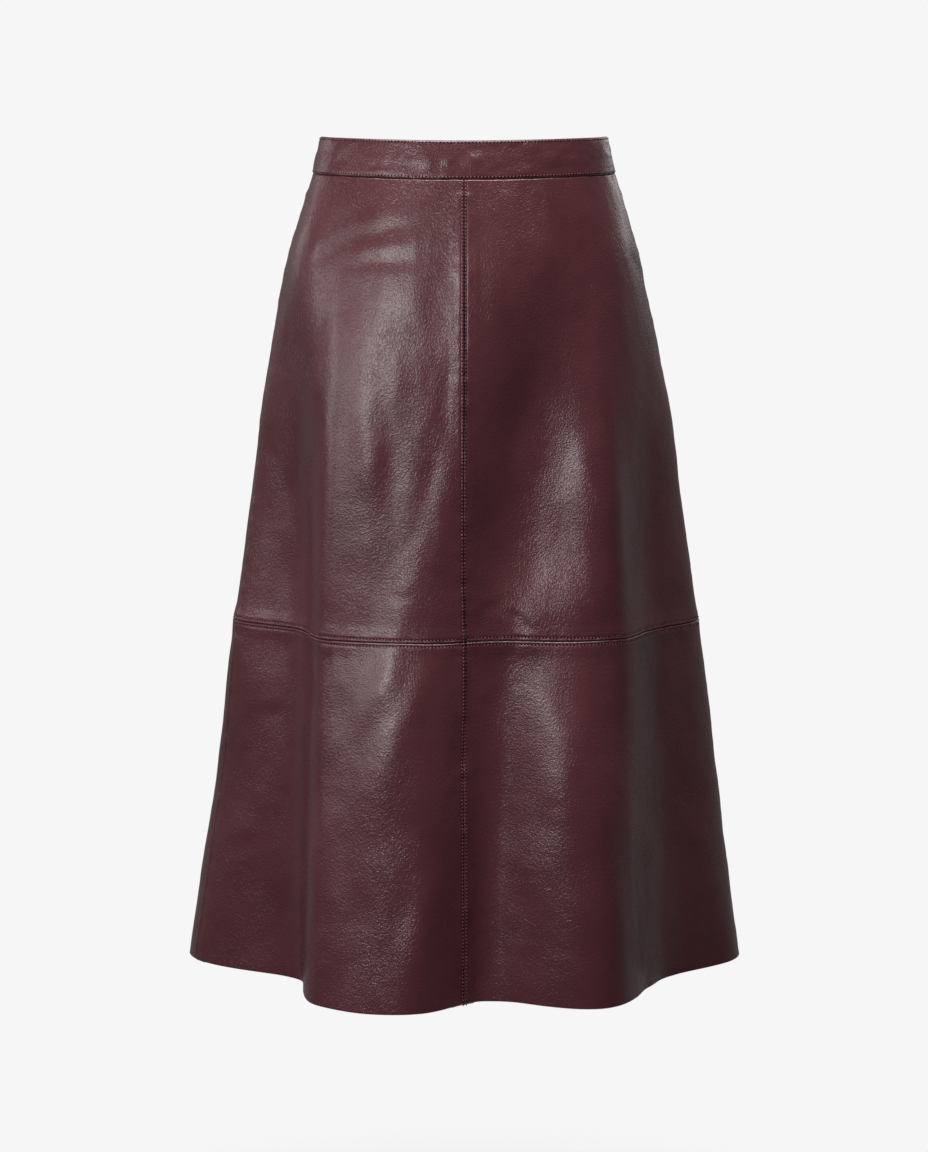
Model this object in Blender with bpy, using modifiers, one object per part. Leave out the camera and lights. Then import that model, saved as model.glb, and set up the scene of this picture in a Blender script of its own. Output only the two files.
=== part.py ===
"""A-line midi skirt in leather, filled out as it is worn and open at the waist and the hem.

Metres, +Z up. The front faces -Y and the wearer's left is at +X. The origin is at the middle of the
waistband, where the wearer's waist holds the skirt up. A bearing is an angle in plan, in degrees: 0 at
the centre front, 90 at the wearer's left side, 180 at the centre back. A drop is a distance down from
the waistband's top edge at the sides.
"""

import math
from collections import namedtuple

import bmesh
import bpy

# Lengths down the skirt
LENGTH = 0.728
BAND_HEIGHT = 0.032
PANEL_SEAM_DROP = 0.4235
FOLDS_START_DROP = 0.085

# The waist hangs a little lower at the centre front and more at the centre back
TOP_DIP = {"front": 0.0026, "back": 0.0085}
WAIST_SEAM_DIP = {"front": 0.0035, "back": 0.0085}

# Walls, and how the pieces keep clear of each other
PANEL_WALL = 0.0016
BAND_WALL = 0.0030
BAND_PROUD = 0.0004
TAPE_WALL = 0.0010
SEAM_HALF_GAP = 0.00018
TAPE_GAP = 0.0004

# Side seams, which swing forward on one side and back on the other
SideSeam = namedtuple("SideSeam", "waist_bearing hem_bearing")
LEFT_SIDE = SideSeam(91.0, 93.0)
RIGHT_SIDE = SideSeam(-88.5, -86.3)

# The body of the skirt without its folds, as sections that are rounded ellipses in plan
ROUNDNESS = 2.15
Section = namedtuple("Section", "drop half_width front_depth back_depth")
SECTIONS = [
    Section(0.000, 0.1243, 0.0925, 0.0965),
    Section(0.016, 0.1273, 0.0952, 0.0998),
    Section(0.032, 0.1314, 0.0985, 0.1038),
    Section(0.070, 0.1432, 0.1080, 0.1155),
    Section(0.105, 0.1535, 0.1155, 0.1250),
    Section(0.140, 0.1620, 0.1210, 0.1315),
    Section(0.192, 0.1735, 0.1270, 0.1375),
    Section(0.245, 0.1843, 0.1315, 0.1415),
    Section(0.316, 0.1950, 0.1380, 0.1460),
    Section(0.424, 0.2084, 0.1470, 0.1540),
    Section(0.531, 0.2230, 0.1525, 0.1610),
    Section(0.641, 0.2358, 0.1580, 0.1680),
    Section(0.728, 0.2474, 0.1630, 0.1740),
]

# The folds: a negative reach is a hollow between two flutes, a positive one is a flute. Each runs from
# its upper bearing, where the folds start, to the one at the panel seam and on to the one at the hem.
Fold = namedtuple(
    "Fold",
    "upper_bearing seam_bearing hem_bearing seam_reach hem_reach seam_half_spread hem_half_spread",
)
FOLDS = [
    Fold(-72.0, -68.5, -64.0, -0.041, -0.051, 28.0, 30.0),
    Fold(-22.0, -22.0, -20.0, 0.000, 0.052, 38.0, 38.0),
    Fold(32.0, 13.5, 2.0, -0.0185, -0.014, 28.0, 12.0),
    Fold(38.0, 36.0, 31.5, 0.001, 0.042, 22.0, 22.0),
    Fold(73.5, 69.5, 67.5, -0.024, -0.034, 24.0, 23.5),
    Fold(109.5, 112.0, 114.5, -0.029, -0.038, 25.0, 25.0),
    Fold(143.0, 146.0, 149.0, 0.006, 0.040, 27.0, 27.0),
    Fold(183.0, 180.0, 177.0, -0.013, -0.019, 15.0, 15.0),
    Fold(212.0, 209.0, 206.0, 0.006, 0.046, 30.0, 30.0),
    Fold(251.0, 247.5, 244.0, -0.032, -0.042, 26.0, 26.0),
]
# A power over 1 makes the folds start gently from the hip. Below the panel seam they swing out
# steeper at first, by this share, and less towards the hem.
FOLD_ONSET_POWER = 1.5
FOLD_SWING_EASE = 0.25

# Zip at the centre back
ZIP_END_ROW = 5
ZIP_STOP_DROP = 0.198
TAPE_HALF_WIDTH = 0.0125
TAPE_TOP_DROP = 0.0135
TAPE_STEP_BELOW_SEAM = 0.002
SLIDER_DROP = 0.0180
PARTED_HALF_GAP = 0.0018
PARTED_TO_DROP = 0.0245
CLOSED_FROM_DROP = 0.0345
SLIDER = {
    "half_width": 0.0014,
    "height": 0.0086,
    "back": -0.0030,
    "face": 0.0007,
    "rounding": 0.0004,
}
BAIL = {
    "half_width": 0.0007,
    "hole_radius": 0.00105,
    "rim": 0.0008,
    "axis_out": 0.0024,
    "foot_half_height": 0.0026,
    "foot_sunk": 0.0004,
    "arc_end": 140,
}
PULL = {
    "length": 0.0225,
    "thickness": 0.0010,
    "bar": 0.0010,
    "head_half_width": 0.0023,
    "eye_half_width": 0.00115,
    "eye_height": 0.0028,
    "corner": 0.0004,
    "waist_half_width": 0.0019,
    "waist_down": 0.0072,
    "tip_radius": 0.0034,
    "window_radius": 0.0014,
    "tip_arc": (170, 370),
}
STOP = {"width": 0.0052, "height": 0.0026, "depth": 0.0012, "rounding": 0.0003}

# Grid divisions
PANEL_COLUMNS = 20
UPPER_ROWS = 9
LOWER_ROWS = 6
BAND_ROWS = 4
TAPE_COLUMNS = 4
UPPER_ROW_CROWDING = 1.35
CURVE_STEPS = 14
CORNER_STEPS = 3

LEATHER = {"color": (0.080, 0.031, 0.036), "roughness": 0.42, "metallic": 0.0}
TAPE = {"color": (0.045, 0.020, 0.024), "roughness": 0.85, "metallic": 0.0}
METAL = {"color": (0.42, 0.40, 0.39), "roughness": 0.30, "metallic": 1.0}

SHARP_ANGLE = math.radians(40)
BEVELLED_ANGLE = math.radians(50)
TOP_HEIGHT = BAND_HEIGHT / 2


def smooth_step(low, high, value):
    share = min(max((value - low) / (high - low), 0.0), 1.0)
    return share * share * (3 - 2 * share)


def section_at(drop):
    """The section at this drop, along smooth lines through the rows of the table."""
    last = len(SECTIONS) - 1
    row = 0
    while row < last - 1 and drop > SECTIONS[row + 1].drop:
        row += 1
    near = [SECTIONS[min(max(index, 0), last)] for index in range(row - 1, row + 3)]
    span = near[2].drop - near[1].drop
    share = (drop - near[1].drop) / span

    def smooth(values):
        drops = [section.drop for section in near]
        slope = [(values[2] - values[1]) / span] * 2
        if row > 0:
            slope[0] = (values[2] - values[0]) / (drops[2] - drops[0])
        if row < last - 1:
            slope[1] = (values[3] - values[1]) / (drops[3] - drops[1])
        square, cube = share**2, share**3
        return (
            (2 * cube - 3 * square + 1) * values[1]
            + (cube - 2 * square + share) * span * slope[0]
            + (3 * square - 2 * cube) * values[2]
            + (cube - square) * span * slope[1]
        )

    columns = zip(*[section[1:] for section in near])
    return Section(drop, *[smooth(column) for column in columns])


def turn_between(bearing, other):
    """The angle from one bearing to the other, the short way round."""
    return (bearing - other + 180) % 360 - 180


def fold_reach(fold, bearing, drop):
    """How far this fold moves the cloth out at a bearing and a drop."""
    if drop <= FOLDS_START_DROP:
        return 0.0
    upper = min((drop - FOLDS_START_DROP) / (PANEL_SEAM_DROP - FOLDS_START_DROP), 1.0)
    lower = max((drop - PANEL_SEAM_DROP) / (LENGTH - PANEL_SEAM_DROP), 0.0)
    centre = fold.upper_bearing + (fold.seam_bearing - fold.upper_bearing) * upper
    centre += (fold.hem_bearing - fold.seam_bearing) * lower
    half_spread = fold.seam_half_spread + (fold.hem_half_spread - fold.seam_half_spread) * lower
    away = abs(turn_between(bearing, centre)) / half_spread
    if away >= 1:
        return 0.0
    reach = fold.seam_reach * math.sin(math.pi / 2 * upper) ** FOLD_ONSET_POWER
    reach += (fold.hem_reach - fold.seam_reach) * lower * (1 + FOLD_SWING_EASE * (1 - lower))
    return reach * 0.5 * (1 + math.cos(math.pi * away))


def radius_at(bearing, drop):
    section = section_at(drop)
    angle = math.radians(bearing)
    depth = section.front_depth if math.cos(angle) > 0 else section.back_depth
    across = abs(math.sin(angle)) / section.half_width
    along = abs(math.cos(angle)) / depth
    radius = (across**ROUNDNESS + along**ROUNDNESS) ** (-1 / ROUNDNESS)
    return radius + sum(fold_reach(fold, bearing, drop) for fold in FOLDS)


def cloth_point(bearing, drop):
    """A point of the cloth's outer face, as (x, y, z)."""
    radius = radius_at(bearing, drop)
    angle = math.radians(bearing)
    return (radius * math.sin(angle), -radius * math.cos(angle), TOP_HEIGHT - drop)


def cloth_normal(bearing, drop):
    """The outward unit normal of the cloth's outer face."""
    step_bearing, step_drop = 0.4, 0.002
    west, east = cloth_point(bearing - step_bearing, drop), cloth_point(bearing + step_bearing, drop)
    low, high = cloth_point(bearing, drop + step_drop), cloth_point(bearing, drop - step_drop)
    across = [b - a for a, b in zip(west, east)]
    up = [b - a for a, b in zip(low, high)]
    normal = (
        across[1] * up[2] - across[2] * up[1],
        across[2] * up[0] - across[0] * up[2],
        across[0] * up[1] - across[1] * up[0],
    )
    size = math.sqrt(sum(part * part for part in normal))
    return [part / size for part in normal]


def moved_out(bearing, drop, distance):
    point, normal = cloth_point(bearing, drop), cloth_normal(bearing, drop)
    return [a + distance * b for a, b in zip(point, normal)]


def degrees_along(bearing, drop, length):
    """The change of bearing that moves a point this far round the cloth."""
    step = 0.2
    ahead = cloth_point(bearing + step, drop)
    back = cloth_point(bearing - step, drop)
    return 2 * step * length / math.dist(ahead, back)


def even_shares(start, end, columns):
    """Shares of the way between two bearings that divide the hem between them evenly."""
    steps = 12 * columns
    points = [cloth_point(start + (end - start) * step / steps, LENGTH) for step in range(steps + 1)]
    walked = [0.0]
    for one, other in zip(points, points[1:]):
        walked.append(walked[-1] + math.dist(one, other))
    shares = []
    step = 0
    for column in range(columns + 1):
        wanted = walked[-1] * column / columns
        while step < steps - 1 and walked[step + 1] < wanted:
            step += 1
        part = (wanted - walked[step]) / (walked[step + 1] - walked[step])
        shares.append((step + min(part, 1.0)) / steps)
    return shares


def edge_dip(dips, bearing):
    """How much lower than at the sides an edge hangs at this bearing."""
    cosine = math.cos(math.radians(bearing))
    return dips["front" if cosine > 0 else "back"] * cosine * cosine


def top_edge(bearing):
    return edge_dip(TOP_DIP, bearing)


def waist_seam(bearing):
    return BAND_HEIGHT + edge_dip(WAIST_SEAM_DIP, bearing)


def panel_seam(bearing):
    return PANEL_SEAM_DROP


def hem(bearing):
    return LENGTH


def side_bearing(seam, drop):
    return seam.waist_bearing + (seam.hem_bearing - seam.waist_bearing) * drop / LENGTH


def left_side(drop):
    return side_bearing(LEFT_SIDE, drop)


def right_side(drop):
    return side_bearing(RIGHT_SIDE, drop)


def centre_front(drop):
    return 0.0


def centre_back_left(drop):
    return 180.0


def centre_back_right(drop):
    return -180.0


def upper_row_share(row):
    """Rows are closer together near the waist, where the cloth curves most."""
    return (row / UPPER_ROWS) ** UPPER_ROW_CROWDING


def lower_row_share(row):
    return row / LOWER_ROWS


def band_row_share(row):
    return row / BAND_ROWS


def seam_half_gap(drop):
    return SEAM_HALF_GAP


def zip_half_gap(drop):
    """The zip's edges meet, and part round the slider near the top."""
    closed = smooth_step(PARTED_TO_DROP, CLOSED_FROM_DROP, drop)
    return PARTED_HALF_GAP + (SEAM_HALF_GAP - PARTED_HALF_GAP) * closed


def new_material(name, look):
    material = bpy.data.materials.new(name)
    material.use_nodes = True
    shader = material.node_tree.nodes["Principled BSDF"]
    shader.inputs["Base Color"].default_value = (*look["color"], 1.0)
    shader.inputs["Roughness"].default_value = look["roughness"]
    shader.inputs["Metallic"].default_value = look["metallic"]
    material.diffuse_color = (*look["color"], 1.0)
    return material


def new_empty(name, collection, parent=None, location=(0, 0, 0), tilt=0.0):
    empty = bpy.data.objects.new(name, None)
    empty.empty_display_size = 0.01
    empty.location = location
    empty.rotation_euler = (tilt, 0, 0)
    empty.parent = parent
    collection.objects.link(empty)
    return empty


def new_object(name, mesh, collection, parent, look):
    thing = bpy.data.objects.new(name, mesh)
    thing.data.materials.append(new_material(name, look))
    thing.parent = parent
    collection.objects.link(thing)
    return thing


def wall_mesh(name, columns, rows, place):
    """A flat slab of grid cells, whose points are moved to place(column, down, inner).

    column counts the grid's lines from 0, down is a share from 0 to 1, and inner is 1 on the face
    that is turned to the wearer and 0 on the one that shows.
    """
    form = bmesh.new()
    bmesh.ops.create_grid(form, x_segments=columns, y_segments=rows, size=0.5)
    lower = bmesh.ops.extrude_face_region(form, geom=form.faces[:])
    for vert in lower["geom"]:
        if isinstance(vert, bmesh.types.BMVert):
            vert.co.z = -1
    for vert in form.verts:
        column = round((vert.co.x + 0.5) * columns)
        vert.co = place(column, 0.5 - vert.co.y, -vert.co.z)
    bmesh.ops.recalc_face_normals(form, faces=form.faces)
    for face in form.faces:
        face.smooth = True
    mesh = bpy.data.meshes.new(name)
    form.to_mesh(mesh)
    form.free()
    mesh.set_sharp_from_angle(angle=SHARP_ANGLE)
    return mesh


def add_bevel(thing, width):
    bevel = thing.modifiers.new("rounded edges", "BEVEL")
    bevel.width = width
    bevel.segments = 1
    bevel.limit_method = "ANGLE"
    bevel.angle_limit = BEVELLED_ANGLE


# A cut piece of leather: where it starts and ends round the skirt, and its top and bottom edges
PIECE_FIELDS = "name start end top bottom columns rows row_share start_gap end_gap"
Piece = namedtuple("Piece", PIECE_FIELDS)


def make_leather(piece, collection, parent, wall=PANEL_WALL, proud=0.0):
    """One cut piece, from its seam at the start to the one at the end, with its wall turned inward."""

    shares = even_shares(piece.start(LENGTH), piece.end(LENGTH), piece.columns)

    def place(column, down, inner):
        rough = piece.start(0) + (piece.end(0) - piece.start(0)) * shares[column]
        top = piece.top(rough)
        bottom = piece.bottom(rough)
        top += SEAM_HALF_GAP if piece.top is not top_edge else 0.0
        bottom -= SEAM_HALF_GAP if piece.bottom is not hem else 0.0
        drop = top + (bottom - top) * piece.row_share(down * piece.rows)
        start = piece.start(drop) + degrees_along(piece.start(drop), drop, piece.start_gap(drop))
        end = piece.end(drop) - degrees_along(piece.end(drop), drop, piece.end_gap(drop))
        return moved_out(start + (end - start) * shares[column], drop, proud - wall * inner)

    mesh = wall_mesh(piece.name, piece.columns, piece.rows, place)
    return new_object(piece.name, mesh, collection, parent, LEATHER)


def make_panels(collection, parent):
    """Eight panels: four above the seam that runs round the skirt and four below it."""
    quarters = {
        "front_{}_left": (centre_front, left_side),
        "front_{}_right": (right_side, centre_front),
        "back_{}_left": (left_side, centre_back_left),
        "back_{}_right": (centre_back_right, right_side),
    }
    bands = {
        "upper": (waist_seam, panel_seam, UPPER_ROWS, upper_row_share),
        "lower": (panel_seam, hem, LOWER_ROWS, lower_row_share),
    }
    for level, (top, bottom, rows, row_share) in bands.items():
        for pattern, (start, end) in quarters.items():
            piece = Piece(
                pattern.format(level),
                start,
                end,
                top,
                bottom,
                PANEL_COLUMNS,
                rows,
                row_share,
                seam_half_gap,
                seam_half_gap,
            )
            make_leather(piece, collection, parent)


def make_waistband(collection, parent):
    """A plain band in three pieces: one across the front and two that meet at the zip."""
    pieces = [
        ("waistband_front", right_side, left_side, 2, seam_half_gap, seam_half_gap),
        ("waistband_back_left", left_side, centre_back_left, 1, seam_half_gap, zip_half_gap),
        ("waistband_back_right", centre_back_right, right_side, 1, zip_half_gap, seam_half_gap),
    ]
    for name, start, end, quarters, start_gap, end_gap in pieces:
        piece = Piece(
            name,
            start,
            end,
            top_edge,
            waist_seam,
            PANEL_COLUMNS * quarters,
            BAND_ROWS,
            band_row_share,
            start_gap,
            end_gap,
        )
        make_leather(piece, collection, parent, BAND_WALL, BAND_PROUD)


def make_zip_tape(collection, parent):
    """The zip's tape, behind the centre-back seam from the waistband down to the hip."""

    seam = waist_seam(180)
    drops = [TAPE_TOP_DROP, (TAPE_TOP_DROP + seam) / 2, seam + TAPE_STEP_BELOW_SEAM]
    behind = [BAND_WALL - BAND_PROUD + TAPE_GAP] * len(drops)
    for row in range(1, ZIP_END_ROW + 1):
        drops.append(seam + SEAM_HALF_GAP + (panel_seam(180) - seam) * upper_row_share(row))
        behind.append(PANEL_WALL + TAPE_GAP)
    rows = len(drops) - 1

    def place(column, down, inner):
        row = round(down * rows)
        across = (2 * column / TAPE_COLUMNS - 1) * TAPE_HALF_WIDTH
        bearing = 180 + degrees_along(180, drops[row], across)
        return moved_out(bearing, drops[row], -behind[row] - TAPE_WALL * inner)

    mesh = wall_mesh("zip_tape", TAPE_COLUMNS, rows, place)
    new_object("zip_tape", mesh, collection, parent, TAPE)


def slope_at(drop):
    """How far the centre back leans out from the vertical, going down."""
    normal = cloth_normal(180, drop)
    return math.atan2(normal[2], normal[1])


def box_mesh(name, low, high):
    form = bmesh.new()
    bmesh.ops.create_cube(form, size=1.0)
    for vert in form.verts:
        vert.co = [a + (b - a) * (c + 0.5) for a, b, c in zip(low, high, vert.co)]
    mesh = bpy.data.meshes.new(name)
    form.to_mesh(mesh)
    form.free()
    return mesh


def outline_mesh(name, outlines, thickness):
    """A flat outline in the XY plane, with its holes, made solid and centred on that plane."""
    curve = bpy.data.curves.new(name, "CURVE")
    curve.dimensions = "2D"
    curve.fill_mode = "BOTH"
    curve.extrude = thickness / 2
    for outline in outlines:
        spline = curve.splines.new("POLY")
        spline.points.add(len(outline) - 1)
        for point, (x, y) in zip(spline.points, outline):
            point.co = (x, y, 0, 1)
        spline.use_cyclic_u = True
    guide = bpy.data.objects.new(name, curve)
    bpy.context.scene.collection.objects.link(guide)
    bpy.context.view_layer.update()
    graph = bpy.context.evaluated_depsgraph_get()
    mesh = bpy.data.meshes.new_from_object(guide.evaluated_get(graph))
    mesh.name = name
    bpy.data.objects.remove(guide)
    bpy.data.curves.remove(curve)
    form = bmesh.new()
    form.from_mesh(mesh)
    bmesh.ops.remove_doubles(form, verts=form.verts, dist=1e-6)
    form.to_mesh(mesh)
    form.free()
    return mesh


def arc(centre_x, centre_y, radius, start, end, steps):
    """Points along an arc, between two angles in degrees, with both ends."""
    points = []
    for step in range(steps + 1):
        angle = math.radians(start + (end - start) * step / steps)
        points.append((centre_x + radius * math.cos(angle), centre_y + radius * math.sin(angle)))
    return points


def circle(centre_x, centre_y, radius, steps):
    return arc(centre_x, centre_y, radius, 0, 360 - 360 / steps, steps - 1)


def make_slider(collection, cutters, frame):
    """The slider: a block between the band's edges, and the bail that holds the pull."""
    low = (-SLIDER["half_width"], SLIDER["back"], -SLIDER["height"] / 2)
    high = (SLIDER["half_width"], SLIDER["face"], SLIDER["height"] / 2)
    slider = new_object("zip_slider", box_mesh("zip_slider", low, high), collection, frame, METAL)
    add_bevel(slider, SLIDER["rounding"])

    ring_radius = BAIL["hole_radius"] + BAIL["rim"]
    foot, foot_half = SLIDER["face"] - BAIL["foot_sunk"], BAIL["foot_half_height"]
    ring = arc(BAIL["axis_out"], 0, ring_radius, -BAIL["arc_end"], BAIL["arc_end"], CURVE_STEPS)
    outlines = [ring + [(foot, foot_half), (foot, -foot_half)]]
    outlines.append(circle(BAIL["axis_out"], 0, BAIL["hole_radius"], CURVE_STEPS))
    mesh = outline_mesh("zip_bail", outlines, 2 * BAIL["half_width"])
    bail = new_object("zip_bail", mesh, cutters, frame, METAL)
    # The outline's X runs out of the cloth, its Y up it, and its thickness across it
    bail.rotation_euler = (math.radians(90), 0, math.radians(90))
    bail.hide_render = True
    bail.display_type = "WIRE"

    join = slider.modifiers.new("bail", "BOOLEAN")
    join.operation = "UNION"
    join.object = bail


def make_pull(collection, axis):
    """The pull: a flat drop with an eye, whose top bar runs through the bail."""
    bar = PULL["bar"] / 2
    head = PULL["head_half_width"]
    tip_y = -(PULL["length"] - PULL["tip_radius"])
    corner, waist = PULL["corner"], PULL["waist_half_width"]
    outer = arc(head - corner, bar - corner, corner, 0, 90, CORNER_STEPS)
    outer += arc(-head + corner, bar - corner, corner, 90, 180, CORNER_STEPS)
    outer += [(-waist, -PULL["waist_down"])]
    outer += arc(0, tip_y, PULL["tip_radius"], *PULL["tip_arc"], CURVE_STEPS)
    outer += [(waist, -PULL["waist_down"])]
    eye_bottom = -bar - PULL["eye_height"]
    eye = PULL["eye_half_width"]
    hole = [(-eye, -bar), (eye, -bar), (eye, eye_bottom), (-eye, eye_bottom)]
    window = circle(0, tip_y, PULL["window_radius"], CURVE_STEPS)
    mesh = outline_mesh("zip_pull", [outer, hole, window], PULL["thickness"])
    pull = new_object("zip_pull", mesh, collection, axis, METAL)
    # The outline's Y runs up the pull, and its thickness is across the cloth
    pull.rotation_euler = (math.radians(90), 0, 0)
    return pull


def make_zip_stop(collection, parent):
    """The clip that ends the zip, on the inside of its tape."""
    inward = PANEL_WALL + TAPE_GAP + TAPE_WALL + TAPE_GAP
    half_width, half_height = STOP["width"] / 2, STOP["height"] / 2
    frame = new_empty(
        "zip_stop_frame",
        collection,
        parent,
        moved_out(180, ZIP_STOP_DROP, -inward),
        slope_at(ZIP_STOP_DROP),
    )
    low = (-half_width, -STOP["depth"], -half_height)
    high = (half_width, 0, half_height)
    stop = new_object("zip_stop", box_mesh("zip_stop", low, high), collection, frame, METAL)
    add_bevel(stop, STOP["rounding"])


def make_zip(collection, cutters, parent):
    make_zip_tape(collection, parent)
    tilt = slope_at(SLIDER_DROP)
    slider_frame = new_empty(
        "slider_frame",
        collection,
        parent,
        moved_out(180, SLIDER_DROP, BAND_PROUD),
        tilt,
    )
    make_slider(collection, cutters, slider_frame)
    pull_axis = new_empty("pull_axis", collection, slider_frame, (0, BAIL["axis_out"], 0))
    make_pull(collection, pull_axis)
    make_zip_stop(collection, parent)


def clear_scene():
    for thing in list(bpy.data.objects):
        bpy.data.objects.remove(thing)


def main():
    clear_scene()
    collection = bpy.data.collections.new("leather_skirt")
    cutters = bpy.data.collections.new("cutters")
    bpy.context.scene.collection.children.link(collection)
    bpy.context.scene.collection.children.link(cutters)
    cutters.hide_render = True
    waist = new_empty("waist_frame", collection)
    make_waistband(collection, waist)
    make_panels(collection, waist)
    make_zip(collection, cutters, waist)


main()
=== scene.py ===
# A-line leather skirt, filled out as it is worn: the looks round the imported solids
import math
from collections import namedtuple

import bpy
import numpy as np
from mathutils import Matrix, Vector


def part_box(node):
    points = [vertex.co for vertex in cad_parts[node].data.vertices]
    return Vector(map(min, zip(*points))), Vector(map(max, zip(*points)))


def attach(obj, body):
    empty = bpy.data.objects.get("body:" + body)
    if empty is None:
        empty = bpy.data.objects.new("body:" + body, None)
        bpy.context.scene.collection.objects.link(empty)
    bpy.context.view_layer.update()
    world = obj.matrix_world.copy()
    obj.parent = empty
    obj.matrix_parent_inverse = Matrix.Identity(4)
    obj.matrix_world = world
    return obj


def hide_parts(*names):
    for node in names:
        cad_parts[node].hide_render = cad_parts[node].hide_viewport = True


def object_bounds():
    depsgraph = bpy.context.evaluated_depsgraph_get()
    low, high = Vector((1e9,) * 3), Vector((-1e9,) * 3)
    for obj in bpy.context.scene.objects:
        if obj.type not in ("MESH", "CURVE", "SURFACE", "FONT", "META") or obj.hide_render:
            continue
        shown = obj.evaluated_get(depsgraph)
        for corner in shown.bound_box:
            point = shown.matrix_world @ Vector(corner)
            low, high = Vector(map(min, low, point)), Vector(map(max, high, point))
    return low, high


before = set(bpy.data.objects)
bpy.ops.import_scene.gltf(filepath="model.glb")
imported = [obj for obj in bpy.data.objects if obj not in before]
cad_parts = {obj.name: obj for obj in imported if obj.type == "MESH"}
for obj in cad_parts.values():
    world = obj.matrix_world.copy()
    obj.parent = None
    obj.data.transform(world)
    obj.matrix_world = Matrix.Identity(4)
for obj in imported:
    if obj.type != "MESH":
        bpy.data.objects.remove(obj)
cadLow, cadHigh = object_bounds()
print("frame loaded")

# The skirt's own measures in metres. A bearing is an angle in plan in degrees, 0 at the centre front,
# 90 at the wearer's left side, 180 at the centre back. A drop runs down from the band's top edge.
cut = {
    "bandHeight": 0.032,
    "panelSeamDrop": 0.4235,
    "foldsStartDrop": 0.085,
    "roundness": 2.15,
    "foldOnsetPower": 1.5,
    "foldSwingEase": 0.25,
    "topDip": {"front": 0.0026, "back": 0.0085},
    "waistSeamDip": {"front": 0.0035, "back": 0.0085},
}
cut["topHeight"] = cut["bandHeight"] / 2
cut["length"] = cut["topHeight"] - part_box("front_lower_left")[0].z - 0.0003

Section = namedtuple("Section", "drop halfWidth frontDepth backDepth")
sections = [
    Section(0.000, 0.1243, 0.0925, 0.0965),
    Section(0.016, 0.1273, 0.0952, 0.0998),
    Section(0.032, 0.1314, 0.0985, 0.1038),
    Section(0.070, 0.1432, 0.1080, 0.1155),
    Section(0.105, 0.1535, 0.1155, 0.1250),
    Section(0.140, 0.1620, 0.1210, 0.1315),
    Section(0.192, 0.1735, 0.1270, 0.1375),
    Section(0.245, 0.1843, 0.1315, 0.1415),
    Section(0.316, 0.1950, 0.1380, 0.1460),
    Section(0.424, 0.2084, 0.1470, 0.1540),
    Section(0.531, 0.2230, 0.1525, 0.1610),
    Section(0.641, 0.2358, 0.1580, 0.1680),
    Section(0.728, 0.2474, 0.1630, 0.1740),
]

# Folds that fall from the hip: a negative reach is a hollow between two flutes. The upper columns are
# where it starts, the seam's are at the panel seam, and the hem's are at the hem.
Fold = namedtuple(
    "Fold", "upperBearing seamBearing hemBearing seamReach hemReach seamSpread hemSpread"
)
folds = [
    Fold(-72.0, -68.5, -64.0, -0.041, -0.051, 28.0, 30.0),
    Fold(-22.0, -22.0, -20.0, 0.000, 0.052, 38.0, 38.0),
    Fold(32.0, 13.5, 2.0, -0.0185, -0.014, 28.0, 12.0),
    Fold(38.0, 36.0, 31.5, 0.001, 0.042, 22.0, 22.0),
    Fold(73.5, 69.5, 67.5, -0.024, -0.034, 24.0, 23.5),
    Fold(109.5, 112.0, 114.5, -0.029, -0.038, 25.0, 25.0),
    Fold(143.0, 146.0, 149.0, 0.006, 0.040, 27.0, 27.0),
    Fold(183.0, 180.0, 177.0, -0.013, -0.019, 15.0, 15.0),
    Fold(212.0, 209.0, 206.0, 0.006, 0.046, 30.0, 30.0),
    Fold(251.0, 247.5, 244.0, -0.032, -0.042, 26.0, 26.0),
]

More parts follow.
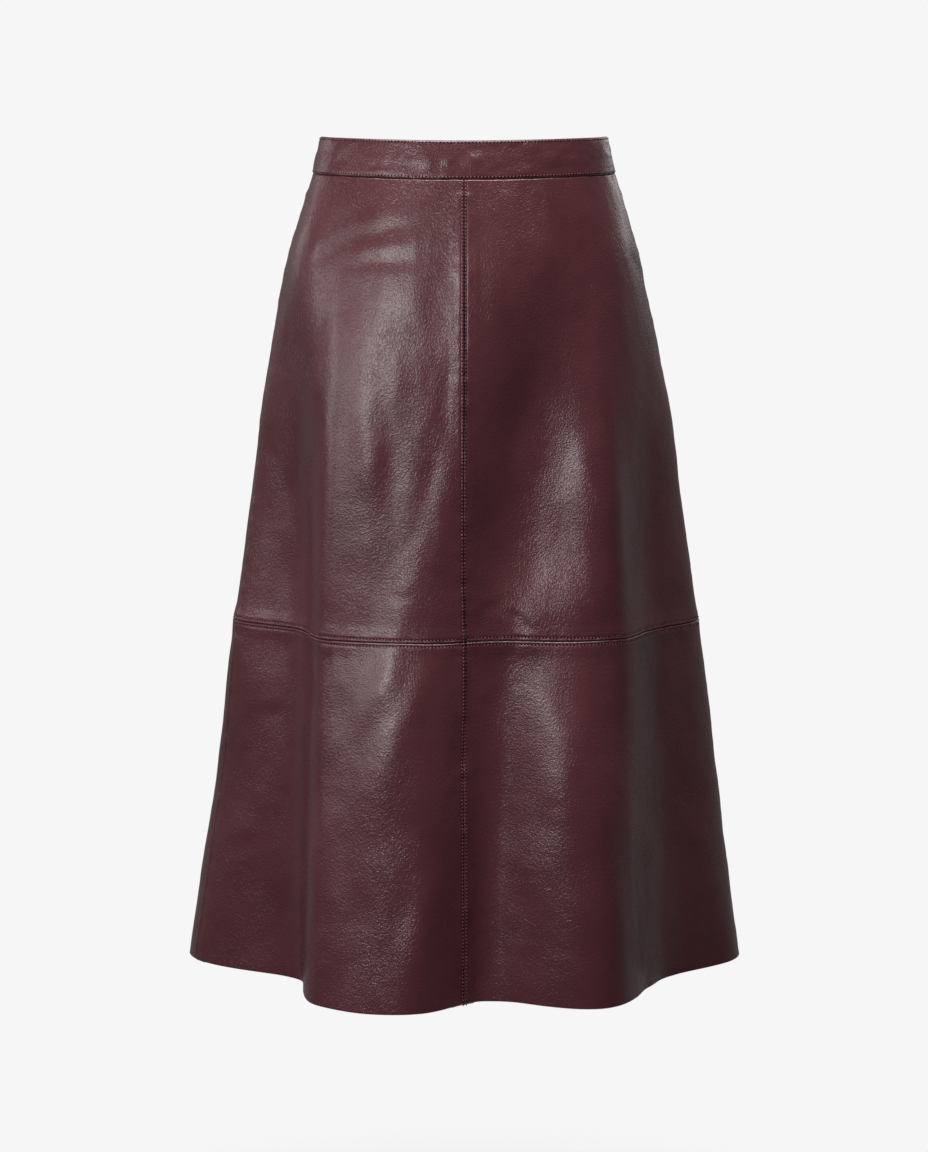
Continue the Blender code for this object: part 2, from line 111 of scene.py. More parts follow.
# Soft creases in the leather. run is the crease's own direction in degrees from level, and a
# negative reach is a trough. lip is how much of it turns back along one side.
Crease = namedtuple("Crease", "bearing drop run length width reach bend lip", defaults=(0.45,))
creaseRows = [
    # across the wearer's right hip, under the waistband
    (-38, 0.082, 14, 0.110, 0.0085, -0.0010, 1.2),
    (-34, 0.104, 4, 0.120, 0.0070, -0.0009, -1.5),
    (-46, 0.064, 22, 0.070, 0.0070, -0.0006, 1.0),
    (-14, 0.096, -8, 0.050, 0.0060, -0.0004, 0.5),
    (-58, 0.100, 28, 0.060, 0.0080, -0.0006, 1.5),
    # the stiff seam stands a little proud down the centre front
    (0, 0.220, 90, 0.420, 0.0120, 0.0015, 0.0, 0.0),
    (0, 0.120, 90, 0.260, 0.0200, 0.0016, 0.0, 0.0),
    # the front falls in between the thigh and the seam
    (25, 0.235, 0, 0.170, 0.0700, -0.0060, 0.0, 0.2),
    # a flute runs down over the thigh, and the left one leans in to the seam
    (45.5, 0.310, 88, 0.440, 0.0230, 0.0085, 0.0),
    (-18.5, 0.385, -101, 0.280, 0.0180, 0.0028, 0.0),
    (-33, 0.270, 92, 0.150, 0.0120, 0.0012, 0.0, 0.0),
    # long soft pulls down the front
    (-13, 0.300, 78, 0.150, 0.0090, -0.0011, 0.4),
    (-27, 0.250, 96, 0.170, 0.0100, -0.0007, -0.3),
    (-7, 0.215, 84, 0.080, 0.0060, -0.0006, 0.0),
    (9, 0.330, 112, 0.150, 0.0110, -0.0009, 0.4),
    (27, 0.200, 84, 0.120, 0.0100, -0.0005, 0.0),
    # the leather swells out a little above the panel seam
    (28, 0.398, 2, 0.170, 0.0300, 0.0030, 0.0),
    (-26, 0.404, -2, 0.180, 0.0260, 0.0006, 0.0),
    (-20, 0.452, 0, 0.150, 0.0340, 0.0030, 0.0, 0.0),
    # small diagonal creases above the panel seam
    (18, 0.402, -24, 0.050, 0.0035, -0.0009, 2.0),
    (22, 0.412, -14, 0.034, 0.0030, -0.0005, 1.0),
    (11, 0.395, 26, 0.040, 0.0050, -0.0006, -2.0),
    (-20, 0.385, 12, 0.030, 0.0040, -0.0003, 0.0),
    # the lower panels' own flutes and pulls
    (-26, 0.660, 88, 0.340, 0.0260, -0.0040, 0.0),
    (-10.5, 0.660, 84, 0.300, 0.0130, 0.0030, 0.0),
    (-20.5, 0.505, 80, 0.190, 0.0210, 0.0034, 0.0, 0.0),
    (-26, 0.470, 66, 0.110, 0.0100, 0.0010, 0.0),
    (-14, 0.470, 72, 0.110, 0.0100, 0.0010, 0.0),
    (-31, 0.560, 84, 0.200, 0.0110, -0.0007, 0.2),
    (-9, 0.600, 72, 0.180, 0.0100, -0.0007, 0.3),
    (23, 0.560, 98, 0.170, 0.0110, -0.0006, -0.2),
    (-74, 0.500, 8, 0.040, 0.0060, -0.0006, 0.0),
    (-78, 0.620, 20, 0.050, 0.0080, -0.0005, 1.0),
    (50, 0.600, 88, 0.140, 0.0090, -0.0004, 0.0),
    # sides and back
    (80, 0.110, -24, 0.060, 0.0080, -0.0007, 1.0),
    (104, 0.088, 12, 0.080, 0.0080, -0.0008, 1.0),
    (128, 0.120, -10, 0.090, 0.0085, -0.0009, 1.5),
    (138, 0.086, -4, 0.070, 0.0070, -0.0006, -1.0),
    (216, 0.112, 12, 0.100, 0.0090, -0.0009, -1.2),
    (228, 0.080, 6, 0.060, 0.0070, -0.0006, 1.0),
    (250, 0.120, 26, 0.070, 0.0080, -0.0007, 1.0),
    (160, 0.300, 82, 0.150, 0.0100, -0.0009, 0.3),
    (200, 0.280, 98, 0.170, 0.0100, -0.0009, -0.3),
    (172, 0.395, 18, 0.050, 0.0045, -0.0007, 1.5),
    (190, 0.385, -22, 0.040, 0.0040, -0.0005, 1.0),
    (152, 0.580, 88, 0.190, 0.0110, -0.0008, 0.2),
    (212, 0.560, 95, 0.200, 0.0110, -0.0008, -0.2),
    (235, 0.500, 14, 0.050, 0.0060, -0.0005, 0.0),
]
creases = [Crease(*row) for row in creaseRows]


def smoothColumn(drop, column):
    drops = np.array([row.drop for row in sections])
    values = np.array([getattr(row, column) for row in sections])
    slopes = np.diff(values) / np.diff(drops)
    tangents = (values[2:] - values[:-2]) / (drops[2:] - drops[:-2])
    tangents = np.concatenate([[slopes[0]], tangents, [slopes[-1]]])
    row = np.clip(np.searchsorted(drops, drop, side="left") - 1, 0, len(drops) - 2)
    span = drops[row + 1] - drops[row]
    t = (drop - drops[row]) / span
    return (
        (2 * t**3 - 3 * t**2 + 1) * values[row]
        + (t**3 - 2 * t**2 + t) * span * tangents[row]
        + (3 * t**2 - 2 * t**3) * values[row + 1]
        + (t**3 - t**2) * span * tangents[row + 1]
    )


def radiusAt(bearing, drop):
    angle = np.radians(bearing)
    width = smoothColumn(drop, "halfWidth")
    depth = np.where(
        np.cos(angle) > 0, smoothColumn(drop, "frontDepth"), smoothColumn(drop, "backDepth")
    )
    power = cut["roundness"]
    across = np.abs(np.sin(angle) / width) ** power
    radius = (across + np.abs(np.cos(angle) / depth) ** power) ** (-1 / power)
    seam = cut["panelSeamDrop"]
    below = (drop - seam) / (cut["length"] - seam)
    above = np.clip((drop - cut["foldsStartDrop"]) / (seam - cut["foldsStartDrop"]), 0, 1)
    lower = np.maximum(below, 0)
    for fold in folds:
        centre = fold.upperBearing + (fold.seamBearing - fold.upperBearing) * above
        centre = centre + (fold.hemBearing - fold.seamBearing) * lower
        spread = fold.seamSpread + (fold.hemSpread - fold.seamSpread) * lower
        away = np.abs((bearing - centre + 180) % 360 - 180) / spread
        reach = fold.seamReach * np.sin(math.pi / 2 * above) ** cut["foldOnsetPower"]
        swing = lower * (1 + cut["foldSwingEase"] * (1 - lower))
        reach = reach + (fold.hemReach - fold.seamReach) * swing
        radius = radius + reach * 0.5 * (1 + np.cos(math.pi * np.minimum(away, 1)))
    return radius


def clothPoint(bearing, drop):
    radius = radiusAt(bearing, drop)
    angle = np.radians(bearing)
    height = cut["topHeight"] - drop
    return np.stack([radius * np.sin(angle), -radius * np.cos(angle), height + 0 * angle], -1)


def clothNormal(bearing, drop):
    across = clothPoint(bearing + 0.4, drop) - clothPoint(bearing - 0.4, drop)
    up = clothPoint(bearing, drop - 0.002) - clothPoint(bearing, drop + 0.002)
    normal = np.cross(across, up)
    return normal / np.linalg.norm(normal, axis=-1, keepdims=True)


def eased(share):
    # runs from 0 to 1, level at both ends
    return share * share * (3 - 2 * share)


def stepped(drop, start, end, first, last):
    # goes smoothly from one value to the other between two drops
    return first + (last - first) * eased(np.clip((drop - start) / (end - start), 0, 1))


def blended(table, rows, columns, v, u):
    # the table's value between two rows and two columns
    low, high = (table[row, columns[0]] * (1 - u) + table[row, columns[1]] * u for row in rows)
    return low * (1 - v) + high * v


def softNoise(x, y, seed):
    # smooth uneven values about 0, on a lattice one unit apart
    lattice = np.random.default_rng(seed).standard_normal((97, 97))
    column, row = np.floor(x).astype(int), np.floor(y).astype(int)
    columns, rows = (column % 97, (column + 1) % 97), (row % 97, (row + 1) % 97)
    return blended(lattice, rows, columns, eased(y - row), eased(x - column))


def bell(distance, width):
    return np.exp(-((distance / width) ** 2))


def creaseRelief(bearing, drop):
    relief = np.zeros_like(bearing)
    radius = radiusAt(bearing, drop)
    for crease in creases:
        x = np.radians((bearing - crease.bearing + 180) % 360 - 180) * radius
        y = crease.drop - drop
        run = math.radians(crease.run)
        along = x * math.cos(run) + y * math.sin(run)
        across = -x * math.sin(run) + y * math.cos(run) - crease.bend * along**2
        taper = np.cos(np.clip(along / crease.length, -0.5, 0.5) * math.pi) ** 2
        side = across / crease.width
        shape = bell(side, 1.0) - crease.lip * bell(side - 1.9, 1.2)
        relief += crease.reach * shape * taper
    return relief


# The hide's own unevenness, longer down the skirt than across it. The two larger ripples fade out
# towards the waistband.
Ripple = namedtuple("Ripple", "height across down shiftAcross shiftDown seed fades")
ripples = [
    Ripple(0.00110, 0.0450, 0.1100, 0, 5, 11, True),
    Ripple(0.00030, 0.0170, 0.0340, 3, 0, 23, True),
    Ripple(0.00007, 0.0065, 0.0085, 0, 9, 37, False),
]


def rippleRelief(bearing, drop):
    girth = np.radians(bearing % 360) * 0.16
    fade = np.clip((drop - 0.03) / 0.06, 0, 1)
    relief = np.zeros_like(drop + bearing)
    for ripple in ripples:
        across = girth / ripple.across + ripple.shiftAcross
        down = drop / ripple.down + ripple.shiftDown
        height = softNoise(across, down, ripple.seed) * ripple.height
        relief = relief + height * (fade if ripple.fades else 1.0)
    return relief


# Each seam's relief: heights, and how wide each part of it is
seamLook = {
    "ridge": 0.00032,
    "ridgeWidth": 0.00062,
    "ridgePlace": 0.45,
    "trench": 0.00020,
    "trenchWidth": 0.0005,
    "shoulder": 0.00016,
    "shoulderWidth": 0.0016,
    "shoulderOut": 0.0022,
    "plainRidge": 0.000192,
    "plainRidgeWidth": 0.0025,
    "turning": 0.00014,
    "turningWidth": 0.0115,
    "turningStep": 0.0006,
    "pucker": 0.00022,
    "puckerLength": 0.0055,
    "puckerAcross": 0.012,
    "puckerReach": 0.010,
    "bulge": 0.0007,
    "bulgeWidth": 0.011,
}
# The two topstitched seams: how far from each its stitches draw a trench, and where they lie
trenchAt = {"centreFront": 0.0023, "panelSeam": 0.0031}
stitchedAt = {"centreFront": 0.0014, "panelSeam": 0.0031}


def seamRelief(distance, along, seam, seed, bulge=0.0):
    look = seamLook
    step = (distance - look["turningWidth"]) / look["turningStep"]
    relief = look["turning"] / (1 + np.exp(step)) + bulge * bell(distance, look["bulgeWidth"])
    if seam in trenchAt:
        line = trenchAt[seam]
        fromRidge = distance - look["ridgePlace"] * line
        fromShoulder = distance - line - look["shoulderOut"]
        relief = relief + look["ridge"] * bell(fromRidge, look["ridgeWidth"])
        relief = relief - look["trench"] * bell(distance - line, look["trenchWidth"])
        relief = relief + look["shoulder"] * bell(fromShoulder, look["shoulderWidth"])
    else:
        relief = relief + look["plainRidge"] * bell(distance, look["plainRidgeWidth"])
    pucker = softNoise(along / look["puckerLength"], distance / look["puckerAcross"], seed)
    return relief + look["pucker"] * pucker * bell(distance, look["puckerReach"])


# Each upright seam's bearing at the top edge and at the hem
seamBearings = {
    "centreFront": (0.0, 0.0),
    "leftSide": (91.0, 93.0),
    "rightSide": (-88.5, -86.3),
    "backFromLeft": (180.0, 180.0),
    "backFromRight": (-180.0, -180.0),
}


def seamBearing(seam, drop):
    top, hem = seamBearings[seam]
    return top + (hem - top) * drop / cut["length"]


def edgeDip(dips, bearing):
    cosine = np.cos(np.radians(bearing))
    return np.where(cosine > 0, cut[dips]["front"], cut[dips]["back"]) * cosine**2


# The drop of each edge that runs round the skirt
edgeDrops = {
    "top": lambda bearing: edgeDip("topDip", bearing),
    "waist": lambda bearing: cut["bandHeight"] + edgeDip("waistSeamDip", bearing),
    "panelSeam": lambda bearing: cut["panelSeamDrop"] + 0 * bearing,
    "hem": lambda bearing: cut["length"] + 0 * bearing,
}


def betweenSeams(piece, drop, share):
    first, last = (seamBearing(seam, np.array(drop)) for seam in (piece.start, piece.end))
    return first + (last - first) * share


class AroundMap:
    # turns a distance round the cloth from a piece's first seam into a bearing, at any drop
    def __init__(self, piece):
        self.levels = np.linspace(0, cut["length"], 71)
        self.shares = np.linspace(0, 1, 301)
        bearings = betweenSeams(piece, self.levels[:, None], self.shares)
        points = clothPoint(bearings, self.levels[:, None] + 0 * bearings)
        steps = np.linalg.norm(np.diff(points, axis=1), axis=-1)
        walked = np.concatenate([np.zeros((len(steps), 1)), np.cumsum(steps, axis=1)], axis=1)
        self.widths = walked[:, -1]
        self.bearings = np.stack(
            [np.interp(self.shares, w / w[-1], b) for w, b in zip(walked, bearings)]
        )

    def width(self, drop):
        return np.interp(drop, self.levels, self.widths)

    def bearing(self, distance, drop):
        share = np.clip(distance / self.width(drop), 0, 1) * (len(self.shares) - 1)
        level = np.clip(drop / self.levels[-1], 0, 1) * (len(self.levels) - 1)
        column = np.minimum(share.astype(int), len(self.shares) - 2)
        row = np.minimum(level.astype(int), len(self.levels) - 2)
        rows, columns = (row, row + 1), (column, column + 1)
        return blended(self.bearings, rows, columns, level - row, share - column)


leatherWall = 0.0010
rollRadius = 0.00108  # of the leather where an edge is turned in


def addWall(piece, thickness, offset, innerSlot=0, rimSlot=0):
    wall = piece.modifiers.new("wall", "SOLIDIFY")
    wall.thickness = thickness
    wall.offset = offset
    wall.material_offset = innerSlot
    wall.material_offset_rim = rimSlot


def edgeProfile(turning):
    # from the end of the turned-in leather, round the fold, and out to where the plain cloth starts
    profile = []
    if turning:
        for share in np.linspace(0, 1, 5)[:-1]:
            profile.append((turning + (rollRadius - turning) * share, 2 * rollRadius))
    for angle in np.linspace(math.pi, 0, 8):
        roll = (1 - math.sin(angle), 1 - math.cos(angle))
        profile.append((rollRadius * roll[0], rollRadius * roll[1]))
    steps = [0.0014, 0.0017, 0.0019, 0.0021, 0.0023, 0.0026, 0.0029, 0.0031, 0.0033, 0.0036]
    steps += [0.0041, 0.0048, 0.0058, 0.0072, 0.0090, 0.0105, 0.0115, 0.0125, 0.0145, 0.018]
    return profile + [(step, 0.0) for step in steps]


def spacedLine(before, after, total, spacing):
    # shares and offsets of grid lines: a fixed distance near each edge, even between
    count = max(int((total - before[-1][0] - after[-1][0]) / spacing), 2)
    rows = [(distance, depth, 0.0, -1) for distance, depth in before]
    for step in range(1, count):
        rows.append((0.0, 0.0, step / count, 0))
    rows += [(distance, depth, 1.0, 1) for distance, depth in reversed(after)]
    return [np.array(column) for column in zip(*rows)]


def placeLine(line, width, before, after):
    # the distance of each grid line from the first edge, for a stretch of this width
    offset, _, share, side = line
    margin, endMargin = before[-1][0], after[-1][0]
    middle = margin + (width - margin - endMargin) * share
    return np.where(side < 0, offset, np.where(side > 0, width - offset, middle))


def gridMesh(name, points, coordinates, closedRound=False):
    rows, columns = points.shape[:2]
    index = np.arange(rows * columns).reshape(rows, columns)
    if closedRound:
        index = np.concatenate([index, index[:1]], axis=0)
    faces = np.stack([index[1:, :-1], index[1:, 1:], index[:-1, 1:], index[:-1, :-1]], -1)
    faces = faces.reshape(-1, 4)
    mesh = bpy.data.meshes.new(name)
    mesh.from_pydata(points.reshape(-1, 3), [], faces)
    layer = mesh.uv_layers.new(name="Cloth")
    corner = np.zeros(len(mesh.loops), int)
    mesh.loops.foreach_get("vertex_index", corner)
    layer.data.foreach_set("uv", coordinates.reshape(-1, 2)[corner].ravel().astype(np.float32))
    mesh.polygons.foreach_set("use_smooth", np.ones(len(mesh.polygons), bool))
    mesh.update()
    return mesh


def newObject(name, data, materials=()):
    added = bpy.data.objects.new(name, data)
    bpy.context.scene.collection.objects.link(added)
    for material in materials:
        data.materials.append(material)
    return added


# The cut panels, each a quarter of the way round between two seams, in two tiers
Panel = namedtuple("Panel", "node start end top bottom")
quarters = [
    ("front", "left", "centreFront", "leftSide"),
    ("front", "right", "rightSide", "centreFront"),
    ("back", "left", "leftSide", "backFromLeft"),
    ("back", "right", "backFromRight", "rightSide"),
]
tiers = [("upper", "waist", "panelSeam"), ("lower", "panelSeam", "hem")]
panels = [
    Panel(f"{face}_{tier}_{side}", start, end, top, bottom)
    for tier, top, bottom in tiers
    for face, side, start, end in quarters
]
# How much leather is turned in behind each edge. The waist's and the band's own turnings are inside
# the band, so they count in the cut only.
turnings = {"waist": 0.0, "panelSeam": 0.0115, "hem": 0.020, "side": 0.0115}
hiddenTurning = 0.010


# The unevenness that the waist seam and the hem's turning leave in the leather beside them
edgeWaves = {
    "waist": {"height": 0.0003, "across": 0.012, "down": 0.02, "reach": 0.012, "seed": 7},
    "hem": {"height": 0.0004, "across": 0.03, "down": 0.05, "reach": 0.02, "seed": 13},
}


def panelRelief(panel, bearing, drop, fromStart, fromEnd, fromTop, fromBottom):
    girth = np.radians(bearing % 360) * 0.18
    relief = creaseRelief(bearing, drop) + rippleRelief(bearing, drop)
    relief += seamRelief(fromStart, drop, panel.start, 3)
    relief += seamRelief(fromEnd, drop, panel.end, 3)
    for edge, inward in ((panel.top, fromTop), (panel.bottom, fromBottom)):
        if edge == "panelSeam":
            relief += seamRelief(inward, girth, edge, 5, seamLook["bulge"])
        else:
            look = edgeWaves[edge]
            wave = softNoise(girth / look["across"], inward / look["down"], look["seed"])
            relief += look["height"] * wave * np.exp(-inward / look["reach"])
    return relief


def makePanel(panel, materials, spacing):
    around = AroundMap(panel)
    middleBearing = betweenSeams(panel, 0.2, 0.5)
    topDrop = float(edgeDrops[panel.top](middleBearing))
    bottomDrop = float(edgeDrops[panel.bottom](middleBearing))
    sideProfile = edgeProfile(turnings["side"])
    topProfile = edgeProfile(turnings[panel.top])
    bottomProfile = edgeProfile(turnings[panel.bottom])
    width = float(around.width(bottomDrop))
    columns = spacedLine(sideProfile, sideProfile, width, spacing)
    rows = spacedLine(topProfile, bottomProfile, bottomDrop - topDrop, spacing)

    # first the drops, from bearings that are near enough, and then the true places round the cloth
    roughShare = placeLine(columns, width, sideProfile, sideProfile) / width
    roughBearing = betweenSeams(panel, topDrop, roughShare)[None, :]
    top, bottom = edgeDrops[panel.top](roughBearing), edgeDrops[panel.bottom](roughBearing)
    drop = top + placeLine([c[:, None] for c in rows], bottom - top, topProfile, bottomProfile)
    widths = around.width(drop)
    distance = placeLine([c[None, :] for c in columns], widths, sideProfile, sideProfile)
    bearing = around.bearing(distance, drop)
    depth = columns[1][None, :] + rows[1][:, None]
    relief = panelRelief(
        panel, bearing, drop, distance, widths - distance, drop - top, bottom - drop
    )
    points = clothPoint(bearing, drop)
    points += clothNormal(bearing, drop) * (relief - depth)[..., None]
    coordinates = np.stack([np.radians(bearing) * 0.2, -drop], -1)
    mesh = gridMesh(panel.node, points, coordinates)
    piece = newObject("leather_" + panel.node, mesh, materials)
    addWall(piece, leatherWall, -1, innerSlot=1, rimSlot=1)
    print("panel", panel.node, points.shape[:2])
    return piece, width + 2 * turnings["side"], bottomDrop - topDrop


# The waistband, folded double: how thick and puffed it is, and where its stitches draw it in
bandLook = {
    "wall": 0.0030,
    "proud": 0.0004,
    "puff": 0.0007,
    "stitchIn": 0.0020,
    "stitchLift": 0.00022,
    "trench": 0.00025,
    "trenchWidth": 0.0007,
    "crinkle": 0.00030,
    "endRound": 0.0012,
    "endDip": 0.0006,
    "endDipWidth": 0.0015,
    "spacing": 0.0032,
}
Band = namedtuple("Band", "node start end zipStart zipEnd")
bands = [
    Band("waistband_front", "rightSide", "leftSide", False, False),
    Band("waistband_back_left", "leftSide", "backFromLeft", False, True),
    Band("waistband_back_right", "backFromRight", "rightSide", True, False),
]
# Half the gap between the two ends at the zip, parted at the top and closing to the slider
zipParting = {"halfGap": 0.0018, "partedTo": 0.0245, "closedFrom": 0.0345, "closed": 0.00015}


def zipHalfGap(drop):
    look = zipParting
    return stepped(drop, look["partedTo"], look["closedFrom"], look["halfGap"], look["closed"])


def bandLoop():
    # the band's section as (share of its height, share of its depth, outside or not), from the
    # bottom of its outer face up, over the fold and down its inner face
    loop = []
    radius = bandLook["wall"] / 2 / cut["bandHeight"]
    for share in np.linspace(0, 1, 25):
        loop.append((radius + (1 - 2 * radius) * share, 0.0, 1.0))
    for angle in np.linspace(0, math.pi, 9)[1:-1]:
        loop.append((1 - radius + radius * math.sin(angle), (1 - math.cos(angle)) / 2, 0.0))
    for share in np.linspace(1, 0, 13):
        loop.append((radius + (1 - 2 * radius) * share, 1.0, 0.0))
    for angle in np.linspace(0, math.pi, 7)[1:-1]:
        loop.append((radius - radius * math.sin(angle), (1 + math.cos(angle)) / 2, 0.0))
    return [np.array(column)[:, None] for column in zip(*loop)]


def bandRelief(bearing, drop):
    look = bandLook
    girth = np.radians(bearing % 360) * 0.12
    fromTop = drop - edgeDrops["top"](bearing)
    fromBottom = edgeDrops["waist"](bearing) - drop
    middle = np.clip(np.minimum(fromTop, fromBottom) / (cut["bandHeight"] / 2), 0, 1)
    relief = look["puff"] * np.sqrt(middle)
    for inward in (fromTop, fromBottom):
        relief = relief - look["trench"] * bell(inward - look["stitchIn"], look["trenchWidth"])
    crinkle = softNoise(girth / 0.011, drop / 0.010, 41)
    crinkle = crinkle + softNoise(girth / 0.004, drop / 0.005, 43) / 2
    return relief + look["crinkle"] * crinkle * np.clip(middle * 3, 0, 1)


def makeBand(band, materials):
    look = bandLook
    around = AroundMap(band)
    width = float(around.width(cut["bandHeight"] / 2))
    count = int(width / look["spacing"])
    ends = look["endRound"] * (1 - np.cos(np.linspace(0, math.pi / 2, 6)))
    offsets = np.concatenate([ends, np.linspace(0.003, width - 0.003, count), width - ends[::-1]])
    share = offsets[None, :] / width
    height, depth, outside = bandLoop()
    rough = betweenSeams(band, cut["bandHeight"] / 2, share)
    top, bottom = edgeDrops["top"](rough), edgeDrops["waist"](rough)
    drop = bottom + (top - bottom) * height
    widths = around.width(drop)
    parted = zipHalfGap(drop)
    startGap, endGap = parted * band.zipStart, parted * band.zipEnd
    distance = startGap + (widths - startGap - endGap) * share
    bearing = around.bearing(distance, drop)
    edge = np.minimum(offsets, width - offsets)[None, :]
    thin = np.sqrt(np.clip(1 - np.clip(1 - edge / look["endRound"], 0, 1) ** 2, 0, 1))
    relief = bandRelief(bearing, drop) - look["endDip"] * bell(edge, look["endDipWidth"])
    half = look["wall"] / 2
    outer = look["proud"] - half + half * (1 - 2 * depth) * thin + relief * outside
    points = clothPoint(bearing, drop) + clothNormal(bearing, drop) * outer[..., None]
    coordinates = np.stack([np.radians(bearing) * 0.13, -drop - 0.04 * depth], -1)
    mesh = gridMesh(band.node, points[::-1], coordinates[::-1], closedRound=True)
    print("band", band.node, points.shape[:2])
    piece = newObject("leather_" + band.node, mesh, materials)
    addWall(piece, leatherWall, -1, innerSlot=1)
    return piece, width


# The woven tape behind the centre-back seam, which lies against the band and then against the panels
tapeLook = {
    "halfWidth": 0.0125,
    "topDrop": 0.0137,
    "behindBand": 0.0035,
    "behindPanels": 0.0025,
    "stepFrom": 0.0425,
    "stepTo": 0.0580,
    "wall": 0.0006,
    "ripple": 0.00016,
    "columns": 15,
    "rows": 90,
}
tapeLook["endDrop"] = cut["topHeight"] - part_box("zip_tape")[0].z - 0.0004


def tapeDepth(drop):
    look = tapeLook
    start, end = look["stepFrom"], look["stepTo"]
    return stepped(drop, start, end, look["behindBand"], look["behindPanels"])


def makeTape(material):
    look = tapeLook
    across = np.linspace(-look["halfWidth"], look["halfWidth"], look["columns"])[None, :]
    drop = np.linspace(look["topDrop"], look["endDrop"], look["rows"])[:, None] + 0 * across
    bearing = 180 + np.degrees(across / radiusAt(180 + 0 * drop, drop))
    depth = tapeDepth(drop) + look["ripple"] * softNoise(across / 0.006 + 9, drop / 0.009, 51)
    points = clothPoint(bearing, drop) - clothNormal(bearing, drop) * depth[..., None]
    mesh = gridMesh("zip_tape", points, np.stack([across + 0 * drop, -drop], -1))
    piece = newObject("woven_zip_tape", mesh, (material,))
    addWall(piece, look["wall"], 0)
    return piece, 2 * look["halfWidth"], look["endDrop"] - look["topDrop"]


# Shader node groups: the hide's surface, and the fine weave that the backing and the tape share
def addSockets(tree, side, kind, *labels):
    for label in labels:
        tree.interface.new_socket(label, in_out=side, socket_type="NodeSocket" + kind)


def newGroup(name, sizes, results):
    group = bpy.data.node_groups.new(name, "ShaderNodeTree")
    addSockets(group, "INPUT", "Vector", "Vector")
    addSockets(group, "INPUT", "Float", *sizes)
    addSockets(group, "OUTPUT", "Float", *results)
    return group, group.nodes.new("NodeGroupInput").outputs, group.nodes.new("NodeGroupOutput")


def feed(tree, node, inputs):
    for key, value in inputs.items():
        if isinstance(value, bpy.types.NodeSocket):
            tree.links.new(value, node.inputs[key])
        else:
            node.inputs[key].default_value = value


def addNode(tree, kind, inputs=None, **settings):
    node = tree.nodes.new(kind)
    for key, value in settings.items():
        setattr(node, key, value)
    feed(tree, node, inputs or {})
    return node


def nodeResult(tree, kind, inputs=None, **settings):
    return addNode(tree, kind, inputs, **settings).outputs[0]


def mathNode(tree, operation, first, second=0.0, third=0.0):
    values = {0: first, 1: second, 2: third}
    return nodeResult(tree, "ShaderNodeMath", values, operation=operation)


def noiseNode(tree, place, scale, detail=2.0, roughness=0.5):
    values = {"Vector": place, "Scale": scale, "Detail": detail, "Roughness": roughness}
    return addNode(tree, "ShaderNodeTexNoise", values).outputs


def mapRange(tree, value, low, high, first, last, way="LINEAR"):
    values = {0: value, 1: low, 2: high, 3: first, 4: last}
    return nodeResult(tree, "ShaderNodeMapRange", values, interpolation_type=way)


def mixedColor(tree, share, first, second):
    values = {0: share, 6: (*first, 1.0), 7: (*second, 1.0)}
    return addNode(tree, "ShaderNodeMix", values, data_type="RGBA").outputs[2]


def bumpNormal(tree, height, strength, distance):
    values = {"Height": height, "Strength": strength, "Distance": distance}
    return nodeResult(tree, "ShaderNodeBump", values)


# The hide's pattern, with each scale in ripples a metre
hideLook = {
    "fineScale": 480.0,
    "bendScale": 140.0,
    "bend": 0.0035,
    "netTurn": (0.0, 0.9, 0.3),
    "netStretch": (1.0, 1.0, 0.45),
    "patchScale": 26.0,
    "patchFrom": 0.38,
    "patchTo": 0.64,
    "patchLeast": 0.10,
    "cloudScale": 9.0,
    "creaseEdge": 0.09,
    "grainHeight": 0.7,
    "fineHeight": 0.8,
    "creaseDepth": 0.55,
}


def hideGroup():
    # fine grain, a net of small creases that comes and goes, and soft cloudiness
    look = hideLook
    sizes = ("Grain Size", "Crease Size", "Crease Amount")
    group, given, made = newGroup("hide surface", sizes, ("Height", "Tone", "Creased"))
    place = given["Vector"]
    grainScale = mathNode(group, "DIVIDE", 1.0, given["Grain Size"])
    creaseScale = mathNode(group, "DIVIDE", 1.0, given["Crease Size"])
    cells = {"Vector": place, "Scale": grainScale, "Randomness": 0.9}
    grain = addNode(group, "ShaderNodeTexVoronoi", cells, feature="SMOOTH_F1")
    bend = noiseNode(group, place, look["bendScale"])["Color"]
    bend = {0: bend, 1: (look["bend"],) * 3, 2: place}
    bent = nodeResult(group, "ShaderNodeVectorMath", bend, operation="MULTIPLY_ADD")
    slant = {"Vector": bent, "Rotation": look["netTurn"], "Scale": look["netStretch"]}
    slant = nodeResult(group, "ShaderNodeMapping", slant)
    cells = {"Vector": slant, "Scale": creaseScale, "Randomness": 1.0}
    net = addNode(group, "ShaderNodeTexVoronoi", cells, feature="DISTANCE_TO_EDGE")
    crease = mapRange(group, net.outputs["Distance"], 0.0, look["creaseEdge"], 1.0, 0.0)
    patches = noiseNode(group, place, look["patchScale"], 4.0)[0]
    patch = mapRange(group, patches, look["patchFrom"], look["patchTo"], look["patchLeast"], 1.0)
    strength = mathNode(group, "MULTIPLY", patch, given["Crease Amount"])
    creased = mathNode(group, "MULTIPLY", crease, strength)
    fine = noiseNode(group, place, look["fineScale"], 3.0)[0]
    height = mathNode(group, "MULTIPLY", grain.outputs["Distance"], look["grainHeight"])
    height = mathNode(group, "MULTIPLY_ADD", fine, look["fineHeight"], height)
    height = mathNode(group, "MULTIPLY_ADD", creased, -look["creaseDepth"], height)
    cloud = noiseNode(group, place, look["cloudScale"], 5.0, 0.6)[0]
    feed(group, made, {"Height": height, "Tone": cloud, "Creased": creased})
    return group


